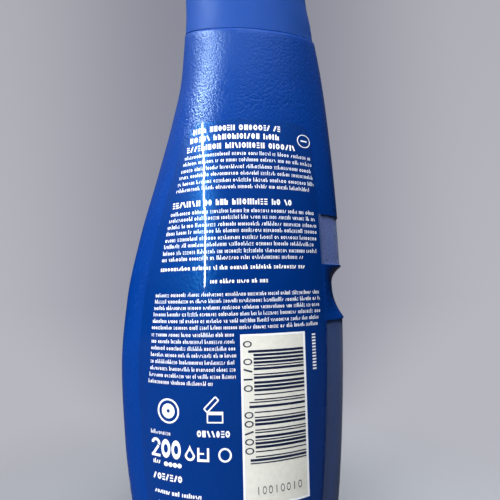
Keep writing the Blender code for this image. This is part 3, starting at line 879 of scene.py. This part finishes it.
def makePrintSymbols():
    # rings, an open jar, a plain number, a drop and a row of dots
    bm = bmesh.new()
    for place, ring in (("signPlace", "signRing"), ("roundPlace", "roundRing"), ("roundPlace", "roundCore"),
                        ("lastPlace", "lastRing")):
        layRing(bm, *symbols[place], *symbols[ring])
    for name in ("sign", "jar", "cup"):
        layBars(bm, *symbols[name + "Place"], symbols[name + "Bars"])

    # the jar's lid, a frame that leans above it
    x, z = symbols["lidPlace"]
    length, wide, stroke = (symbols[key] / 2 for key in ("lidLength", "lidWidth", "lidStroke"))
    turn = symbols["lidTurn"]
    for along, aside, reach, half in ((0.0, wide, length, stroke), (0.0, -wide, length, stroke),
                                      (length, 0.0, stroke, wide), (-length, 0.0, stroke, wide)):
        barX = x + along * math.cos(turn) - aside * math.sin(turn)
        barZ = z + along * math.sin(turn) + aside * math.cos(turn)
        layBar(bm, barX - reach, barX + reach, barZ - half, barZ + half, turn)

    # the number 200, and a drop after it
    left, base = symbols["digitPlace"]
    wide, tall, stroke, pitch = (symbols["digit" + key] for key in ("Width", "Height", "Stroke", "Pitch"))
    radius = wide / 2
    middle = left + radius
    layRing(bm, middle, base + tall - radius, radius, radius - stroke, 1.0, 16, *symbols["hook"])
    half, low, high, lean = symbols["digitSlant"]
    layBar(bm, middle - half, middle + half, base + low, base + high, lean)
    layBar(bm, left, left + wide, base, base + stroke)
    for index in (1, 2):
        layRing(bm, middle + index * pitch, base + tall / 2, radius, radius - stroke, tall / wide)
    layRing(bm, *symbols["dropPlace"], *symbols["dropRing"], drop=symbols["dropTip"])

    # a row of dots, and short dashes up the right edge
    x, z = symbols["dotPlace"]
    for index in range(4):
        layDisc(bm, x + index * symbols["dotPitch"], z, symbols["dotRadius"])
    x, z = symbols["dashPlace"]
    for step in range(12):
        layBars(bm, x, z + step * symbols["dashPitch"], [symbols["dash"]])
    wrapPrint("printSymbols", bm, whiteInk)


panel = {"left": 2.5, "right": 19.2, "bottom": 22.3, "top": 63.9, "frame": 0.5,
         "barLeft": 5.7, "barRight": 18.6, "barBottom": 32.5, "barTop": 60.2, "module": 0.305, "guardExtra": 1.3,
         "longBars": (0, 1, 14, 15), "lastBars": 1.5,
         "markX": 4.25, "markLift": 1.0, "markPitch": 2.15, "markClear": 1.45, "markRing": (1.12, 0.76, 0.72, 18),
         "markReach": 1.1, "markHalf": 0.2, "markLean": (0, 0.3, -0.3), "ringShare": 0.55,
         "rowLeft": 6.2, "rowPitch": 1.5, "rowHeight": 26.1, "ones": (0, 3, 6), "one": (-0.08, 0.08, -0.95, 0.95),
         "nought": (0.50, 0.37, 1.9, 16)}


def makeCodePanel():
    left, right, bottom, top, edge = (panel[key] for key in ("left", "right", "bottom", "top", "frame"))
    bm = bmesh.new()
    layBar(bm, left, right, bottom, top)
    wrapPrint("codeGround", bm, creamInk)
    bm = bmesh.new()
    layBars(bm, 0.0, 0.0, [(left, left + edge, bottom, top), (right - edge, right, bottom, top),
                           (left + edge, right - edge, top - edge, top),
                           (left + edge, right - edge, bottom, bottom + edge)])
    wrapPrint("codeFrame", bm, whiteInk, ink["thickness"])

    # made-up bars, with a longer pair at both ends and in the middle
    bm = bmesh.new()
    dice = random.Random(7)
    z = panel["barBottom"]
    index = 0
    guards = []
    while z < panel["barTop"]:
        bar = panel["module"] * dice.choice((1, 1, 1, 2, 2, 3))
        space = panel["module"] * dice.choice((1, 1, 2, 2, 3))
        low = panel["barLeft"]
        if index in panel["longBars"] or z > panel["barTop"] - panel["lastBars"]:
            low -= panel["guardExtra"]
            guards.append(z)
        layBar(bm, low, panel["barRight"], z, z + bar)
        z += bar + space
        index += 1

    # a column of plain marks beside them, clear of the longer bars
    x, reach, half = panel["markX"], panel["markReach"], panel["markHalf"]
    for step in range(14):
        place = panel["barBottom"] + panel["markLift"] + panel["markPitch"] * step
        if any(abs(place - height) < panel["markClear"] for height in guards):
            continue
        if dice.random() < panel["ringShare"]:
            layRing(bm, x, place, *panel["markRing"])
        else:
            layBar(bm, x - reach, x + reach, place - half, place + half, dice.choice(panel["markLean"]))

    # a thin row of plain noughts and ones under them
    for index in range(8):
        x = panel["rowLeft"] + index * panel["rowPitch"]
        if index in panel["ones"]:
            layBars(bm, x, panel["rowHeight"], [panel["one"]])
        else:
            layRing(bm, x, panel["rowHeight"], *panel["nought"])
    wrapPrint("codeBars", bm, darkInk, ink["thickness"])


makePrintRows()
makePrintSymbols()
makeCodePanel()


# ---- closure

rim = {"height": 0.0014, "wall": 0.0009, "deck": 0.0013, "lidWall": 0.0013, "lidRoof": 0.0016, "fullness": 3.4}
spout = {"bore": 0.0039, "wall": 0.0010, "height": 0.0026, "plugReach": 0.0020, "plugWall": 0.0009,
         "sleeveWall": 0.0009, "sleeveLength": 0.0085, "snapHeight": 0.0007}
thumb = {"depth": 0.0008, "halfWidth": 0.0085, "height": 0.0055}
pin = {"taper": 0.0003, "depth": 0.0012, "root": 0.0041}
hinge = {"width": 0.0080, "halfHeight": 0.0019, "thickness": 0.0004, "groove": 0.00015, "pocket": 0.00095,
         "rowGap": 0.0002, "blendReach": Vector((0.0, 0.0, 0.001))}
evenTurns = [step / closure["quarter"] for step in range(4 * closure["quarter"])]


def closureRing(rise, inset, pressed=False):
    sizes = closureSizes(rise)
    deep = thumb["depth"] * fade((closure["split"] - rise) / thumb["height"]) if pressed else 0.0
    points = []
    for turn in evenTurns:
        x, y = ovalPoint(turn, sizes, inset)
        z = flask["lineHeight"] + rise - lineDrop(x) - sagAt(y, rise)
        if y > 0:
            y -= deep * fade(abs(x - flask["neckOffset"]) / thumb["halfWidth"])
        points.append(Vector((x, y, z)))
    return points


def domeRing(share, inset, roof):
    base = closure["split"] + closure["gap"]
    rise = base + share * (closure["height"] - roof - base)
    closing = (1 - share ** rim["fullness"]) ** (1 / rim["fullness"])
    sizes = closureSizes(rise)
    crest = sizes[3]
    points = []
    for turn in evenTurns:
        x, y = ovalPoint(turn, sizes, inset)
        x = crest + closing * (x - crest)
        points.append(Vector((x, closing * y, flask["lineHeight"] + rise - lineDrop(x))))
    return points


def makeClosureBase():
    rimInset = rim["lidWall"] + closure["gap"]
    underDeck = closure["split"] - rim["deck"]
    spoutTop = closure["split"] + spout["height"]
    plug = neck["radius"] - neck["wall"] - closure["gap"]
    plugBottom = neck["topRise"] - spout["plugReach"]
    sleeve = neck["radius"] + neck["beadReach"] + closure["gap"]
    snap = neck["radius"] + closure["gap"]
    snapTop = neck["beadRise"] - closure["gap"]
    rings = [closureRing(closure["seat"], closure["wall"]), closureRing(closure["seat"], 0.0)]
    bands = [closure["seat"], closure["edgeBand"], closure["split"] - closure["edgeBand"], closure["split"]]
    for rise in spaced(bands, closure["ringGap"])[1:]:
        rings.append(closureRing(rise, 0.0, True))
    rings += [closureRing(closure["split"], rimInset), closureRing(closure["split"] + rim["height"], rimInset),
              closureRing(closure["split"] + rim["height"], rimInset + rim["wall"]),
              closureRing(closure["split"], rimInset + rim["wall"])]
    for radius, rise, tilt in (
            (spout["bore"] + spout["wall"], closure["split"], 1.0), (spout["bore"] + spout["wall"], spoutTop, 0.0),
            (spout["bore"], spoutTop, 0.0), (spout["bore"], underDeck, 1.0),
            (plug - spout["plugWall"], underDeck, 1.0), (plug - spout["plugWall"], plugBottom, 0.0),
            (plug, plugBottom, 0.0), (plug, underDeck, 1.0), (sleeve, underDeck, 1.0),
            (sleeve, snapTop + neck["beadReach"], 0.0), (snap, snapTop, 0.0),
            (snap, snapTop - spout["snapHeight"], 0.0),
            (sleeve, snapTop - spout["snapHeight"] - neck["beadReach"], 0.0),
            (sleeve, underDeck - spout["sleeveLength"], 0.0),
            (sleeve + spout["sleeveWall"], underDeck - spout["sleeveLength"], 0.0),
            (sleeve + spout["sleeveWall"], underDeck, 1.0)):
        rings.append(roundRing(evenTurns, radius, rise, tilt))
    rings += [closureRing(underDeck, closure["wall"]), closureRing(underDeck / 2, closure["wall"])]
    bm = loftRings(rings, True)
    return finishPiece("closureBase", bm, "container", [closurePlastic], ("cap_base",))


def makeClosureLid():
    pinRadius = spout["bore"] - closure["gap"]
    spoutTop = closure["split"] + spout["height"]
    base = closure["split"] + closure["gap"]
    shares = [0.12, 0.24, 0.35, 0.45, 0.54, 0.62, 0.69, 0.75, 0.80, 0.845, 0.88, 0.91, 0.935, 0.955, 0.97,
              0.981, 0.989, 0.994]
    roofRise = base + shares[-1] * (closure["height"] - rim["lidRoof"] - base)
    rings = [roundRing(evenTurns, pinRadius - pin["taper"], spoutTop - pin["depth"]),
             roundRing(evenTurns, pinRadius, spoutTop), roundRing(evenTurns, pin["root"], roofRise, 1.0)]
    rings += [domeRing(share, rim["lidWall"], rim["lidRoof"]) for share in reversed([0.0] + shares)]
    rings += [domeRing(share, 0.0, 0.0) for share in [0.0] + shares + [0.998, 0.9996]]
    bm = loftRings(rings)
    return finishPiece("closureLid", bm, "lid", [closurePlastic], ("flip_lid",))


def cutPocket(piece):
    # the shallow pocket that the hinge strap lies in, half in the base and half in the lid; then soft edges
    split = closure["split"]
    bm = bmesh.new()
    bmesh.ops.create_cube(bm, size=1.0)
    bmesh.ops.scale(bm, verts=bm.verts, vec=(hinge["width"] + 2 * closure["gap"], 2 * hinge["pocket"],
                                             2 * (hinge["halfHeight"] + closure["gap"])))
    place = Vector((flask["neckOffset"], -closureSizes(split)[2], flask["lineHeight"] + split + closure["gap"] / 2))
    turn = Matrix.Rotation(flask["lineSlope"], 4, "Y")
    bmesh.ops.transform(bm, matrix=Matrix.Translation(place) @ turn, verts=bm.verts)
    mesh = meshFrom("pocketShape", bm)
    cutter = addObject("pocketShape", mesh)
    cut = piece.modifiers.new("pocket", "BOOLEAN")
    cut.operation = "DIFFERENCE"
    cut.solver = "EXACT"
    cut.object = cutter
    solid = piece.evaluated_get(bpy.context.evaluated_depsgraph_get())
    whole = piece.data
    piece.data = bpy.data.meshes.new_from_object(solid)
    piece.modifiers.clear()
    piece.data.set_sharp_from_angle(angle=sharpAngle)
    bpy.data.objects.remove(cutter)
    bpy.data.meshes.remove(mesh)
    bpy.data.meshes.remove(whole)
    bevel = piece.modifiers.new("softEdges", "BEVEL")
    bevel.width = closure["softEdge"]
    bevel.segments = closure["softSteps"]
    bevel.limit_method = "ANGLE"
    bevel.angle_limit = closure["softAngle"]


cutPocket(makeClosureBase())
cutPocket(makeClosureLid())


hinge["place"] = Vector((flask["neckOffset"],
                         hinge["pocket"] - closure["gap"] - hinge["thickness"] / 2 - closureSizes(closure["split"])[2],
                         flask["lineHeight"] + closure["split"] + closure["gap"] / 2))


def makeHingeStrap():
    # the thin film hinge with its fold line, spanning from the base to the lid
    half = hinge["thickness"] / 2
    groove = hinge["groove"]
    tall = hinge["halfHeight"]
    rows = spaced([-tall, -groove * 2, 0.0, groove * 2, tall], hinge["rowGap"])
    bm = bmesh.new()
    made = bmesh.ops.create_grid(bm, x_segments=12, y_segments=len(rows) - 1, size=0.5)["verts"]
    bmesh.ops.rotate(bm, verts=made, cent=(0, 0, 0), matrix=Matrix.Rotation(math.pi / 2, 3, "X"))
    for vert in made:
        vert.co = Vector((vert.co.x * hinge["width"], half, rows[round((vert.co.z + 0.5) * (len(rows) - 1))]))
    for vert in thicken(bm):
        vert.co.y = -half + groove * max(0.0, 1 - abs(vert.co.z) / (2 * groove))
    turn = Matrix.Rotation(flask["lineSlope"], 4, "Y")
    bmesh.ops.transform(bm, matrix=Matrix.Translation(hinge["place"]) @ turn, verts=bm.verts)
    piece = finishPiece("hingeStrap", bm, None, [closurePlastic], ("living_hinge",))
    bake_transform(piece, "container", "lid", start=tuple(hinge["place"] - hinge["blendReach"]),
             end=tuple(hinge["place"] + hinge["blendReach"]))


makeHingeStrap()


# ---- stage, light and camera

stage = {"radius": 3.0, "height": 2.6, "near": 0.05, "far": 0.18, "drop": 0.00005, "roomLight": 0.28,
         "floorTone": (0.235, 0.237, 0.250), "darkFloor": (0.03, 0.03, 0.035),
         "paintedShadeTone": (0.285, 0.290, 0.350), "edgeTone": (0.475, 0.472, 0.520),
         "roomLow": (0.012, 0.015, 0.022), "roomHigh": (0.90, 0.96, 1.05), "ceiling": (0.10, 0.85),
         "dimSide": (0.20, 0.95, 1.0, 0.40), "paintedShadeShift": 0.03, "paintedShadeReach": (0.13, 0.60),
         "wallFade": (0.0, 2.4, 1.0, 0.90), "paintedShadeSide": (-0.12, 0.04, 0.78), "cloudTone": 0.97}


def makeHazeGroup():
    # the grey of the surroundings, with painted shade: darker straight ahead, right behind the bottle, and a little
    # darker higher up; paler to the sides and low down
    group, enter, leave = newGroup("studioHaze", {"Vector": None}, ["Color"])
    ahead = vectorNode(group, "NORMALIZE", vectorNode(group, "MULTIPLY", enter["Vector"], (1.0, 1.0, 0.0)))
    aside = mathNode(group, "ABSOLUTE", mathNode(group, "ADD", partOf(group, ahead, "X"), stage["paintedShadeShift"]))
    tone = mixColours(group, passage(group, aside, *stage["paintedShadeReach"]), stage["paintedShadeTone"], stage["edgeTone"])
    rise = passage(group, partOf(group, enter["Vector"], "Z"), *stage["wallFade"], "LINEAR")
    group.links.new(vectorNode(group, "SCALE", tone, scale=rise), leave["Color"])
    return group


hazeGroup = makeHazeGroup()


def onlyForCamera(tree, shown, other, output="Material Output"):
    # one shader for what the camera sees, another for every other ray
    path = addNode(tree, "ShaderNodeLightPath").outputs["Is Camera Ray"]
    mix = addNode(tree, "ShaderNodeMixShader", {0: path, 1: other, 2: shown})
    tree.links.new(mix.outputs[0], tree.nodes[output].inputs["Surface"])


def makeFloor():
    # pale floor that keeps the bottle's shadow nearby and passes into the haze further off
    bm = bmesh.new()
    bmesh.ops.create_circle(bm, cap_ends=True, segments=128, radius=stage["radius"])
    bmesh.ops.translate(bm, verts=bm.verts, vec=(0, 0, -stage["drop"]))
    material, tree, shader, place = startMaterial("paleFloor", {"Roughness": 0.85, "Specular IOR Level": 0.1})
    cloud = useGroup(tree, cloudGroup, place, Scale=9.0)["Value"]
    low = tuple(stage["cloudTone"] * value for value in stage["floorTone"])

    # painted shade: darker on the side where the lamps stand, where their light falls on the floor
    aside = passage(tree, partOf(tree, place, "X"), *stage["paintedShadeSide"])
    tone = vectorNode(tree, "SCALE", mixColours(tree, cloud, low, stage["floorTone"]), scale=aside)
    tree.links.new(tone, shader.inputs["Base Color"])
    haze = addNode(tree, "ShaderNodeEmission", {"Color": useGroup(tree, hazeGroup, place)["Color"]})
    reach = addNode(tree, "ShaderNodeVectorMath", {0: place}, operation="LENGTH").outputs["Value"]
    share = passage(tree, reach, stage["near"], stage["far"])
    shown = addNode(tree, "ShaderNodeMixShader", {0: share, 1: shader.outputs[0], 2: haze.outputs[0]})
    dark = addNode(tree, "ShaderNodeBsdfDiffuse", {"Color": (*stage["darkFloor"], 1.0)})
    onlyForCamera(tree, shown.outputs[0], dark.outputs[0])
    floor = addObject("floor", meshFrom("floor", bm, material))


def makeBackdrop():
    # a wide plain wall all round that only the camera sees: a soft grey with painted shade, darker right behind the
    # bottle
    bm = bmesh.new()
    first = bm.verts.new((stage["radius"], 0, -stage["drop"]))
    last = bm.verts.new((stage["radius"], 0, stage["height"]))
    edge = bm.edges.new((first, last))
    bmesh.ops.spin(bm, geom=[first, last, edge], axis=(0, 0, 1), cent=(0, 0, 0), angle=math.tau, steps=128,
                   use_merge=True)
    material, tree, _, place = startMaterial("greyBackdrop", {"Roughness": 0.9, "Specular IOR Level": 0.0})
    glow = addNode(tree, "ShaderNodeEmission", {"Color": useGroup(tree, hazeGroup, place)["Color"]})
    tree.links.new(glow.outputs[0], tree.nodes["Material Output"].inputs["Surface"])
    backdrop = addObject("backdrop", meshFrom("backdrop", bm, material))
    backdrop.visible_diffuse = False
    backdrop.visible_glossy = False
    backdrop.visible_transmission = False
    backdrop.visible_shadow = False


def makeWorld():
    # a dim room with a soft bright ceiling; the camera itself sees plain grey
    world = bpy.data.worlds.new("softRoom")
    bpy.context.scene.world = world
    world.use_nodes = True
    tree = world.node_tree
    sky = tree.nodes["Background"]
    place = addNode(tree, "ShaderNodeTexCoord").outputs["Generated"]
    rise = passage(tree, partOf(tree, place, "Z"), *stage["ceiling"])
    aside = passage(tree, partOf(tree, place, "X"), *stage["dimSide"])
    share = mathNode(tree, "MULTIPLY", rise, aside)
    tree.links.new(mixColours(tree, share, stage["roomLow"], stage["roomHigh"]), sky.inputs["Color"])
    sky.inputs["Strength"].default_value = stage["roomLight"]
    plain = addNode(tree, "ShaderNodeBackground", {"Color": (*stage["edgeTone"], 1.0)})
    onlyForCamera(tree, plain.outputs[0], sky.outputs[0], "World Output")


daylight = (0.80, 0.91, 1.0)
paleLight = (0.92, 0.96, 1.0)

# azimuth, elevation, distance, height it is measured from, height it faces, width, height, power, colour, and
# whether glossy surfaces mirror it
lamps = {
    "glowLamp": (72, 46, 1.0, 0.13, 0.13, 0.36, 0.14, 7.0, daylight, True),
    "hazeLamp": (-30, 51, 1.0, 0.09, 0.13, 0.90, 0.22, 1.1, paleLight, True),
    "topLamp": (-15, 68, 0.36, 0.16, 0.14, 0.20, 0.20, 3.7, paleLight, False),
    "backLamp": (195, 32, 1.2, 0.09, 0.08, 0.60, 0.50, 14.0, paleLight, False),
    "sideLamp": (80, 12, 0.9, 0.03, 0.03, 0.30, 0.30, 2.0, paleLight, False),
    "fillLamp": (46, 14, 1.2, 0.05, 0.05, 0.70, 0.50, 24.0, paleLight, False),
}

# the bright gap of a window, bent like its reflection in the film: azimuth and elevation of its stops
strip = {
    "turns": [(25.3, 1.5), (26.5, 7.0), (31.0, 18.0), (40.5, 28.0), (54.0, 36.0), (66.0, 40.2), (84.0, 42.0)],
    "shares": [1.2, 1.5, 1.5, 1.3, 0.8, 0.35],
    "power": 10.0, "width": 0.020, "distance": 1.5, "centre": (-0.006, -0.017, 0.1),
    "faced": Vector((0.0, 0.0, 0.1)),
}


def fromAngles(azimuth, elevation, distance, centre):
    # azimuth counts from the camera's side (-Y) towards -X
    a, e = math.radians(azimuth), math.radians(elevation)
    return Vector(centre) + distance * Vector((-math.sin(a) * math.cos(e), -math.cos(a) * math.cos(e), math.sin(e)))


def addLamp(name, place, aim, width, tall, power, colour):
    # a rectangle of light at the place, turned by the matrix
    data = bpy.data.lights.new(name, "AREA")
    data.shape = "RECTANGLE"
    data.size = width
    data.size_y = tall
    data.energy = power
    data.color = colour
    lamp = addObject(name, data)
    lamp.matrix_world = Matrix.Translation(place) @ aim.to_4x4()
    return lamp


def makeLights():
    stops = [fromAngles(*turns, strip["distance"], strip["centre"]) for turns in strip["turns"]]
    whole = sum((b - a).length for a, b in zip(stops, stops[1:]))
    for index, (start, end) in enumerate(zip(stops, stops[1:])):
        # each length of the strip lies along it and faces the bottle
        length = (end - start).length
        middle = (start + end) / 2
        along = (end - start).normalized()
        back = middle - strip["faced"]
        back = (back - along * back.dot(along)).normalized()
        aim = Matrix((along.cross(back), along, back)).transposed()
        power = strip["power"] * strip["shares"][index] * length / whole
        gap = addLamp("windowGap%d" % index, middle, aim, strip["width"], length, power, daylight)
        gap.visible_diffuse = False
    for name, (azimuth, elevation, distance, over, faced, width, tall, power, colour, shines) in lamps.items():
        place = fromAngles(azimuth, elevation, distance, (0.0, 0.0, over))
        aim = (Vector((0.0, 0.0, faced)) - place).to_track_quat("-Z", "Y").to_matrix()
        lamp = addLamp(name, place, aim, width, tall, power, colour)
        lamp.visible_glossy = shines
        lamp.visible_diffuse = name != "glowLamp"


makeFloor()
makeBackdrop()
makeWorld()
makeLights()
print("stage and lights made")

shot = {"place": (0.00547, -0.120, 0.075), "focal": 397.0, "pixels": 500, "sensor": 36.0,
        "pitch": math.radians(5.7), "roll": math.radians(1.35), "clipStart": 0.005, "clipEnd": 50.0}


def makeCamera():
    data = bpy.data.cameras.new("camera")
    data.sensor_width = shot["sensor"]
    data.lens = shot["focal"] / shot["pixels"] * shot["sensor"]
    data.clip_start = shot["clipStart"]
    data.clip_end = shot["clipEnd"]
    camera = addObject("camera", data)
    right = Vector((1, 0, 0))
    up = Vector((0, -math.sin(shot["pitch"]), math.cos(shot["pitch"])))
    ahead = Vector((0, math.cos(shot["pitch"]), math.sin(shot["pitch"])))
    leanRight = right * math.cos(shot["roll"]) - up * math.sin(shot["roll"])
    leanUp = right * math.sin(shot["roll"]) + up * math.cos(shot["roll"])
    turn = Matrix((leanRight, leanUp, -ahead)).transposed().to_4x4()
    camera.matrix_world = Matrix.Translation(shot["place"]) @ turn
    bpy.context.scene.camera = camera


makeCamera()

bpy.context.scene.view_settings.view_transform = "Standard"
